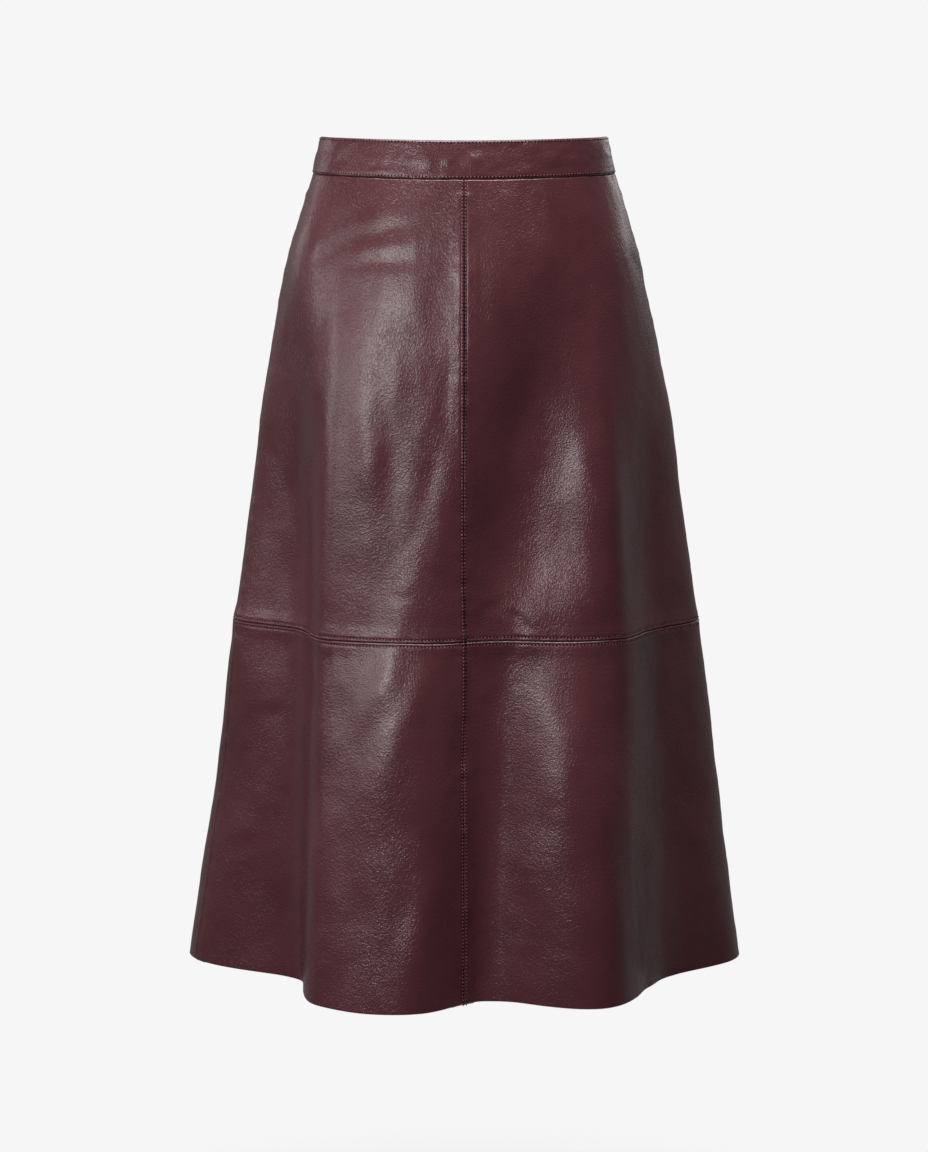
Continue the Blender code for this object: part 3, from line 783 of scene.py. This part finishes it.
def wovenGroup():
    group, given, made = newGroup("fine weave", ("Thread",), ("Height", "Tone"))
    scale = mathNode(group, "DIVIDE", math.pi, given["Thread"])
    parts = addNode(group, "ShaderNodeSeparateXYZ", {0: given["Vector"]})
    waves = []
    for axis in ("X", "Y", "Z"):
        turned = mathNode(group, "MULTIPLY", parts.outputs[axis], scale)
        waves.append(mathNode(group, "SINE", turned))
    weave = mathNode(group, "MULTIPLY", waves[0], waves[2])
    weave = mathNode(group, "MULTIPLY_ADD", waves[1], 0.2, weave)
    cloud = noiseNode(group, given["Vector"], 300.0)[0]
    feed(group, made, {"Height": weave, "Tone": cloud})
    return group


def newMaterial(name):
    material = bpy.data.materials.new(name)
    material.use_nodes = True
    tree = material.node_tree
    place = addNode(tree, "ShaderNodeTexCoord").outputs["Object"]
    return material, tree, tree.nodes["Principled BSDF"], place


leatherLook = {
    "deep": (0.069, 0.0180, 0.0225),
    "open": (0.096, 0.0270, 0.0335),
    "toneFrom": 0.3,
    "toneTo": 0.7,
    "roughness": 0.25,
    "cloudRoughness": 0.10,
    "creaseRoughness": 0.08,
    "grain": 0.6,
    "grainDepth": 0.00045,
    "grainSize": 0.0012,
    "creaseSize": 0.0026,
    "creaseAmount": 0.6,
    "shine": 0.55,
    "coat": 0.12,
    "coatRoughness": 0.22,
}


def leatherMaterial(hide):
    look = leatherLook
    material, tree, shader, place = newMaterial("burgundy leather")
    given = {
        "Vector": place,
        "Grain Size": look["grainSize"],
        "Crease Size": look["creaseSize"],
        "Crease Amount": look["creaseAmount"],
    }
    surface = addNode(tree, "ShaderNodeGroup", given, node_tree=hide).outputs
    tone = mapRange(tree, surface["Tone"], look["toneFrom"], look["toneTo"], 0.0, 1.0)
    cloudy, creased = look["cloudRoughness"], look["creaseRoughness"]
    plain = look["roughness"] - cloudy / 2
    rough = mathNode(tree, "MULTIPLY_ADD", surface["Tone"], cloudy, plain)
    rough = mathNode(tree, "MULTIPLY_ADD", surface["Creased"], creased, rough)
    values = {
        "Base Color": mixedColor(tree, tone, look["deep"], look["open"]),
        "Roughness": rough,
        "Normal": bumpNormal(tree, surface["Height"], look["grain"], look["grainDepth"]),
        "Specular IOR Level": look["shine"],
        "Coat Weight": look["coat"],
        "Coat Roughness": look["coatRoughness"],
    }
    feed(tree, shader, values)
    return material


wovenLooks = {
    "leather backing": {
        "dark": (0.030, 0.014, 0.016),
        "light": (0.060, 0.030, 0.033),
        "thread": 0.0006,
        "depth": 0.0002,
    },
    "zip tape": {
        "dark": (0.030, 0.010, 0.013),
        "light": (0.062, 0.024, 0.029),
        "thread": 0.0004,
        "depth": 0.00025,
    },
}


def wovenMaterial(name, weave):
    look = wovenLooks[name]
    material, tree, shader, place = newMaterial(name)
    given = {"Vector": place, "Thread": look["thread"]}
    cloth = addNode(tree, "ShaderNodeGroup", given, node_tree=weave).outputs
    values = {
        "Base Color": mixedColor(tree, cloth["Tone"], look["dark"], look["light"]),
        "Normal": bumpNormal(tree, cloth["Height"], 0.5, look["depth"]),
        "Roughness": 0.9,
        "Sheen Weight": 0.2,
    }
    feed(tree, shader, values)
    return material


threadLooks = {
    "coil cord": {"color": (0.070, 0.027, 0.033), "roughness": 0.35, "shine": 0.5},
    "thread": {"color": (0.300, 0.108, 0.128), "roughness": 0.45, "shine": 0.5},
    # painted shade: the needle hole's near-black colour goes on a flat disc laid where the hole's
    # shadow falls
    "painted needle shade": {"color": (0.016, 0.0030, 0.0045), "roughness": 0.9, "shine": 0.0},
}


def plainThread(name):
    look = threadLooks[name]
    material, tree, shader, place = newMaterial(name)
    noise = noiseNode(tree, place, 900.0)[0]
    dark = tuple(0.6 * part for part in look["color"])
    values = {
        "Base Color": mixedColor(tree, noise, dark, look["color"]),
        "Normal": bumpNormal(tree, noise, 0.4, 0.0002),
        "Roughness": look["roughness"],
        "Specular IOR Level": look["shine"],
    }
    feed(tree, shader, values)
    return material


metalLook = {
    "dark": (0.34, 0.32, 0.31),
    "light": (0.48, 0.46, 0.45),
    "roughness": 0.16,
    "roughnessRange": 0.18,
}


def metalMaterial():
    look = metalLook
    material, tree, shader, place = newMaterial("dark nickel")
    noise = noiseNode(tree, place, 700.0, 3.0)[0]
    rough = mathNode(tree, "MULTIPLY_ADD", noise, look["roughnessRange"], look["roughness"])
    color = mixedColor(tree, noise, look["dark"], look["light"])
    feed(tree, shader, {"Base Color": color, "Roughness": rough, "Metallic": 1.0})
    return material


# Topstitching: a guide line on the cloth, with its outward direction, becomes separate stitches, and
# between them dark discs of painted shade for the needle holes
stitchLook = {
    "pitch": 0.0030,
    "length": 0.0019,
    "thickness": 0.00070,
    # the radius of each needle hole's dark disc of painted shade, and below, how far it is lifted off
    # the leather
    "hole": 0.00062,
    "lift": 0.00030,
    "shake": 0.09,
    "seed": 4,
}


def newPlacingTree(name, *sizes):
    # a tree that sets points along a guide line, a pitch apart, each turned to run along the line
    # with its Z outward and then shaken a little
    tree = bpy.data.node_groups.new(name, "GeometryNodeTree")
    addSockets(tree, "INPUT", "Geometry", "Geometry")
    addSockets(tree, "INPUT", "Float", "Pitch", "Length", "Thickness", "Shake", *sizes)
    addSockets(tree, "INPUT", "Int", "Seed")
    addSockets(tree, "OUTPUT", "Geometry", "Geometry")
    given = tree.nodes.new("NodeGroupInput").outputs
    made = tree.nodes.new("NodeGroupOutput")
    curve = nodeResult(tree, "GeometryNodeMeshToCurve", {"Mesh": given["Geometry"]})
    pace = {"Curve": curve, "Length": given["Pitch"]}
    steps = nodeResult(tree, "GeometryNodeResampleCurve", pace, mode="LENGTH")
    vectors = {"data_type": "FLOAT_VECTOR"}
    outward = nodeResult(tree, "GeometryNodeInputNamedAttribute", {"Name": "outward"}, **vectors)
    tangent = nodeResult(tree, "GeometryNodeInputTangent")
    align = "FunctionNodeAlignRotationToVector"
    along = nodeResult(tree, align, {"Vector": tangent}, axis="X")
    up = {"Rotation": along, "Vector": outward}
    up = nodeResult(tree, align, up, axis="Z", pivot_axis="X")
    limits = {"Min": (-0.5, -0.5, -1.0), "Max": (0.5, 0.5, 1.0), "Seed": given["Seed"]}
    jitter = nodeResult(tree, "FunctionNodeRandomValue", limits, **vectors)
    shake = {0: jitter, "Scale": given["Shake"]}
    shake = nodeResult(tree, "ShaderNodeVectorMath", shake, operation="SCALE")
    turn = nodeResult(tree, "FunctionNodeEulerToRotation", {0: shake})
    turned = nodeResult(tree, "FunctionNodeRotateRotation", {0: up, 1: turn})
    return tree, given, made, steps, turned


def sizedShape(tree, shape, size, place=(0.0, 0.0, 0.0)):
    size, place = (
        nodeResult(tree, "ShaderNodeCombineXYZ", dict(enumerate(parts))) for parts in (size, place)
    )
    values = {"Geometry": shape, "Scale": size, "Translation": place}
    return nodeResult(tree, "GeometryNodeTransform", values)


def sizedBall(tree, segments, rings, size):
    ball = {"Segments": segments, "Rings": rings, "Radius": 0.5}
    return sizedShape(tree, nodeResult(tree, "GeometryNodeMeshUVSphere", ball), size)


def placeShape(tree, points, rotations, shape, material):
    values = {"Points": points, "Instance": shape, "Rotation": rotations}
    placed = nodeResult(tree, "GeometryNodeInstanceOnPoints", values)
    real = nodeResult(tree, "GeometryNodeRealizeInstances", {0: placed})
    return nodeResult(tree, "GeometryNodeSetMaterial", {0: real, "Material": material})


def stitchTree(thread, hole):
    tree, given, made, points, rotations = newPlacingTree("topstitch", "Hole", "Lift")
    stitch = sizedBall(tree, 8, 5, (given["Length"], given["Thickness"], given["Thickness"]))
    # a flat dark disc half a pitch along from each stitch, lifted off the leather: painted shade for
    # the needle hole, not a real hole
    disc = {"Vertices": 7, "Radius": 1.0}
    disc = nodeResult(tree, "GeometryNodeMeshCircle", disc, fill_type="NGON")
    halfPitch = mathNode(tree, "MULTIPLY", given["Pitch"], 0.5)
    punched = sizedShape(tree, disc, (given["Hole"],) * 3, (halfPitch, 0.0, given["Lift"]))
    joined = tree.nodes.new("GeometryNodeJoinGeometry")
    for shape, material in ((stitch, thread), (punched, hole)):
        placed = placeShape(tree, points, rotations, shape, material)
        tree.links.new(placed, joined.inputs[0])
    tree.links.new(joined.outputs[0], made.inputs[0])
    return tree


# The zip's coil: turns of dyed cord down the wearer's side of the tape, from slider to stop. aside is
# how far each row is from the middle, and inward how far it stands off the tape.
coilLook = {
    "pitch": 0.0011,
    "length": 0.0008,
    "thickness": 0.0010,
    "width": 0.0021,
    "aside": 0.0009,
    "inward": 0.0009,
    "from": 0.0262,
    "to": 0.1965,
    "shake": 0.05,
    "seed": 8,
}


def coilTree(cord):
    tree, given, made, points, rotations = newPlacingTree("zip coil", "Width")
    turn = sizedBall(tree, 10, 6, (given["Length"], given["Width"], given["Thickness"]))
    placed = placeShape(tree, points, rotations, turn, cord)
    tree.links.new(placed, made.inputs[0])
    return tree


def makeCoil(cord):
    look = coilLook
    lines = []
    for side in (-1, 1):
        drop = np.linspace(look["from"] + side * look["pitch"] / 4, look["to"], 90)
        bearing = 180 + side * np.degrees(look["aside"] / radiusAt(180 + 0 * drop, drop))
        lines.append((bearing, drop, -tapeDepth(drop) - look["inward"]))
    return runTree(guideLines("zip_coil", lines), coilTree(cord), look)


def guideLines(name, lines):
    # each line is (bearings, drops, height over the cloth)
    points, edges, normals = [], [], []
    for bearing, drop, lift in lines:
        start = len(points)
        normal = clothNormal(bearing, drop)
        line = clothPoint(bearing, drop) + normal * lift[..., None]
        points += list(line)
        normals += list(normal)
        edges += [(start + step, start + step + 1) for step in range(len(line) - 1)]
    mesh = bpy.data.meshes.new(name)
    mesh.from_pydata(points, edges, [])
    outward = mesh.attributes.new("outward", "FLOAT_VECTOR", "POINT")
    outward.data.foreach_set("vector", np.array(normals, np.float32).ravel())
    return newObject(name, mesh)


def runTree(piece, tree, look):
    # sets the tree's named inputs, makes the result a plain mesh and drops the modifier
    modifier = piece.modifiers.new(tree.name, "NODES")
    modifier.node_group = tree
    for item in tree.interface.items_tree:
        if item.in_out == "INPUT" and item.name.lower() in look:
            modifier[item.identifier] = look[item.name.lower()]
    graph = bpy.context.evaluated_depsgraph_get()
    mesh = bpy.data.meshes.new_from_object(piece.evaluated_get(graph))
    old = piece.data
    piece.modifiers.clear()
    piece.data = mesh
    bpy.data.meshes.remove(old)
    mesh.polygons.foreach_set("use_smooth", np.ones(len(mesh.polygons), bool))
    return piece


def stitchRelief(bearing, drop):
    # the height of the leather under the topstitching, apart from what its own seam adds
    fromSeam = np.abs(drop - cut["panelSeamDrop"])
    bulge = seamLook["bulge"] * bell(fromSeam, seamLook["bulgeWidth"])
    return creaseRelief(bearing, drop) + rippleRelief(bearing, drop) + bulge


# Where the band's two rows of stitches start and end on each of its pieces, and how far short of
# each edge the centre front's rows stop
bandStitching = [(-88.6, 91.2), (91.6, 179.2), (-179.2, -89.0)]
stopShort = {"waist": 0.0015, "panelSeam": 0.0010, "hem": 0.0008}


def makeTopstitching(thread, hole):
    lines = []
    ring = np.linspace(-180, 180, 1441)
    girth = np.radians(ring % 360) * 0.18
    for side in (-1, 1):
        inset = stitchedAt["panelSeam"]
        drop = cut["panelSeamDrop"] + side * inset + 0 * ring
        pucker = seamRelief(0 * ring + inset, girth, "panelSeam", 5)
        lines.append((ring, drop, stitchRelief(ring, drop) + pucker))
        inset = stitchedAt["centreFront"]
        for _, top, bottom in tiers:
            start = edgeDrops[top](0.0) + stopShort[top]
            end = edgeDrops[bottom](0.0) - stopShort[bottom]
            drop = np.linspace(start, end, 240)
            bearing = np.degrees(side * inset / radiusAt(0 * drop, drop))
            pucker = seamRelief(0 * drop + inset, drop, "centreFront", 3)
            lines.append((bearing, drop, stitchRelief(bearing, drop) + pucker))
    for start, end in bandStitching:
        bearing = np.linspace(start, end, int((end - start) * 4))
        for drop in (
            edgeDrops["top"](bearing) + bandLook["stitchIn"],
            edgeDrops["waist"](bearing) - bandLook["stitchIn"],
        ):
            lift = bandLook["proud"] + bandLook["stitchLift"] + bandRelief(bearing, drop)
            lines.append((bearing, drop, lift))
    guide = guideLines("topstitching", lines)
    return runTree(guide, stitchTree(thread, hole), stitchLook)


# The floor lies well below the hem, as the skirt hangs clear, and fades out round a soft disc
floorLook = {"radius": 3.2, "below": 0.34, "fadeFrom": 0.22, "fadeTo": 0.62, "gray": 0.80}


def makeStage():
    look = floorLook
    bpy.ops.mesh.primitive_circle_add(vertices=128, radius=look["radius"], fill_type="NGON")
    floor = bpy.context.active_object
    floor.name = "floor"
    floor.location.z = cadLow.z - look["below"]
    material, tree, shader, place = newMaterial("pale floor")
    material.surface_render_method = "BLENDED"
    reach = addNode(tree, "ShaderNodeVectorMath", {0: place}, operation="LENGTH").outputs["Value"]
    start, end = look["fadeFrom"], look["fadeTo"]
    values = {
        "Base Color": (look["gray"],) * 3 + (1.0,),
        "Roughness": 0.8,
        "Specular IOR Level": 0.1,
        "Alpha": mapRange(tree, reach, start, end, 1.0, 0.0, "SMOOTHSTEP"),
    }
    feed(tree, shader, values)
    floor.data.materials.append(material)


# How far off and how high the camera stands, how many degrees it looks down, and its lens in mm
cameraLook = {"distance": 3.0, "aboveTop": 0.02, "pitch": 7.695, "lens": 107.06}


def makeCamera():
    data = bpy.data.cameras.new("camera")
    data.sensor_width = 36.0
    data.lens = cameraLook["lens"]
    camera = newObject("camera", data)
    height = cut["topHeight"] + cameraLook["aboveTop"]
    camera.location = (0, -cameraLook["distance"], height)
    camera.rotation_euler = (math.radians(90 - cameraLook["pitch"]), 0, 0)
    bpy.context.scene.camera = camera


# Soft boxes: the side each stands on (0 in front, negative to the viewer's left), how far up, how far
# off, its size and how bright it looks
Light = namedtuple("Light", "name side up distance width height glow")
lights = [
    Light("leftEnd", -82.0, 13.0, 1.9, 0.40, 0.55, 4.5),
    Light("leftMiddle", -56.0, 13.0, 1.7, 0.60, 0.45, 3.3),
    Light("frontHigh", -30.0, 17.0, 1.6, 0.58, 0.46, 7.4),
    Light("overhead", -10.0, 75.0, 2.3, 2.4, 1.6, 8.4),
    Light("behindLeft", -126.0, 16.0, 2.5, 0.8, 0.5, 1.2),
    Light("behindRight", 150.0, 22.0, 2.6, 1.2, 1.0, 1.2),
]
# The room's own light, dim in front and paler behind, and the backdrop that the camera sees
aroundLook = {"front": 0.055, "behind": 0.175, "seen": 0.922}


def makeLights():
    middle = Vector((0, 0, (cadLow.z + cadHigh.z) / 2))
    for light in lights:
        data = bpy.data.lights.new(light.name, "AREA")
        data.shape = "RECTANGLE"
        data.size, data.size_y = light.width, light.height
        data.energy = light.glow * math.pi * light.width * light.height
        side, up = math.radians(light.side), math.radians(light.up)
        out = Vector((math.sin(side) * math.cos(up), -math.cos(side) * math.cos(up), math.sin(up)))
        lamp = newObject(light.name, data)
        lamp.location = middle + out * light.distance
        lamp.rotation_euler = (-out).to_track_quat("-Z", "Y").to_euler()


def makeSurroundings():
    look = aroundLook
    world = bpy.data.worlds.new("studio")
    bpy.context.scene.world = world
    world.use_nodes = True
    tree = world.node_tree
    tree.nodes.clear()
    direction = addNode(tree, "ShaderNodeTexCoord").outputs["Generated"]
    parts = addNode(tree, "ShaderNodeSeparateXYZ", {0: direction})
    front, behind = look["front"], look["behind"]
    glow = mapRange(tree, parts.outputs["Y"], -0.25, 0.75, front, behind, "SMOOTHSTEP")
    lit, seen = (
        nodeResult(tree, "ShaderNodeBackground", {"Color": (1, 1, 1, 1), "Strength": strength})
        for strength in (glow, look["seen"])
    )
    cameraRay = tree.nodes.new("ShaderNodeLightPath").outputs["Is Camera Ray"]
    either = nodeResult(tree, "ShaderNodeMixShader", {0: cameraRay, 1: lit, 2: seen})
    addNode(tree, "ShaderNodeOutputWorld", {0: either})


def dressPiece(piece, node):
    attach(piece, "skirt")
    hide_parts(node)


def main():
    bpy.context.scene.view_settings.view_transform = "Standard"
    makeCamera()
    makeLights()
    makeSurroundings()
    makeStage()
    print("camera, lights and floor made")

    hide, weave = hideGroup(), wovenGroup()
    leather = leatherMaterial(hide)
    backing = wovenMaterial("leather backing", weave)
    tapeCloth = wovenMaterial("zip tape", weave)
    # the needle holes' finish is painted shade, a near-black colour for the discs between the
    # stitches
    cord, thread, hole = (plainThread(name) for name in ("coil cord", "thread", "painted needle shade"))
    metal = metalMaterial()
    print("finishes made")

    spacing = 0.0034
    for panel in panels:
        piece, width, length = makePanel(panel, (leather, backing), spacing)
        dressPiece(piece, panel.node)
        length += (turnings[panel.top] or hiddenTurning) + turnings[panel.bottom]
    for band in bands:
        piece, width = makeBand(band, (leather, backing))
        dressPiece(piece, band.node)
    print("leather pieces made")

    stitches = makeTopstitching(thread, hole)
    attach(stitches, "skirt")
    print("topstitching made", len(stitches.data.polygons))

    tape, width, length = makeTape(tapeCloth)
    dressPiece(tape, "zip_tape")
    coil = makeCoil(cord)
    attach(coil, "skirt")
    for node in ("zip_slider", "zip_stop", "zip_pull"):
        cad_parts[node].data.materials.clear()
        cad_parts[node].data.materials.append(metal)
    print("zip made", len(coil.data.polygons))


main()
